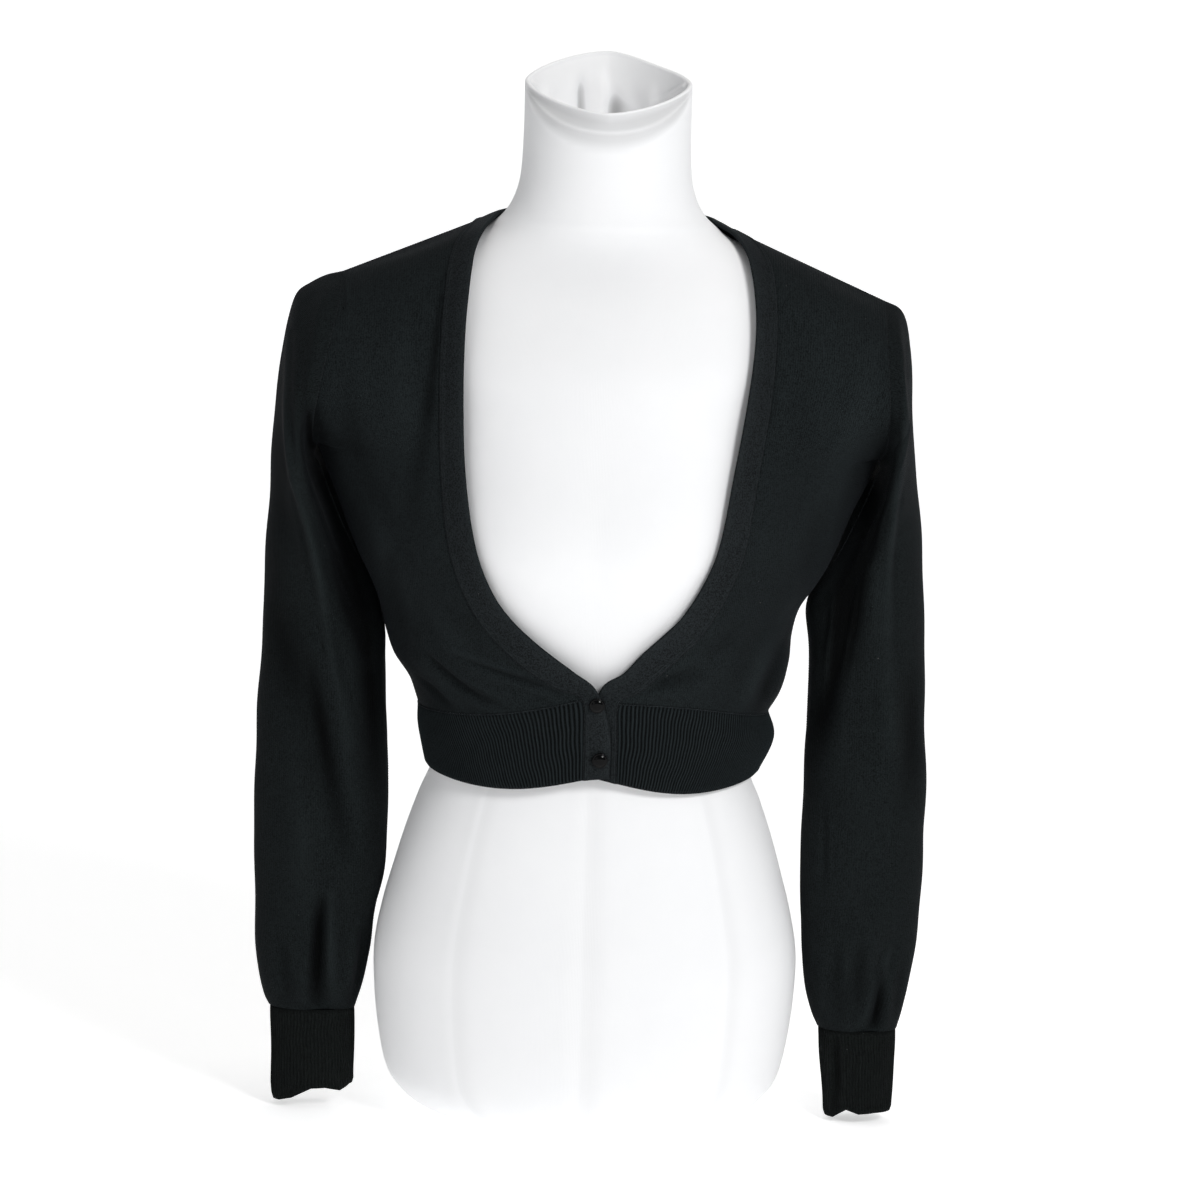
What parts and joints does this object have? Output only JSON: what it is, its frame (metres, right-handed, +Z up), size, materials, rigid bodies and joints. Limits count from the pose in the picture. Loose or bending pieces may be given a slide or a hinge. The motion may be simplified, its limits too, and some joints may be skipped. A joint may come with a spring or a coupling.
{
  "type": "knitted shrug on a limbless dress form",
  "caption": "Cropped long-sleeved knitted shrug with a deep V-neck, ribbed waistband and buttoned placket, worn by a limbless dress form that stands on its flat base.",
  "frame": {"origin": "centre of the dress form's flat base, on the surface it stands on", "axes": "+Z up the body, -Y towards the front, +X towards the wearer's left"},
  "size_m": [0.4985, 0.2361, 0.791],
  "materials": {
    "jersey": "matt fine-gauge knit",
    "rib": "matt rib knit",
    "band": "smooth folded knit",
    "button": "gloss",
    "form": "smooth stretch jersey cover"
  },
  "bodies": {
    "root": {"front_right": "jersey", "front_left": "jersey", "back": "jersey", "sleeve_right": "jersey", "sleeve_left": "jersey", "cuff_right": "rib", "cuff_left": "rib", "waistband_right": "rib", "waistband_left": "rib", "waistband_back": "rib", "neckband": "band", "button_upper": "button", "button_lower": "button", "dress_form": "form"}
  },
  "joints": []
}
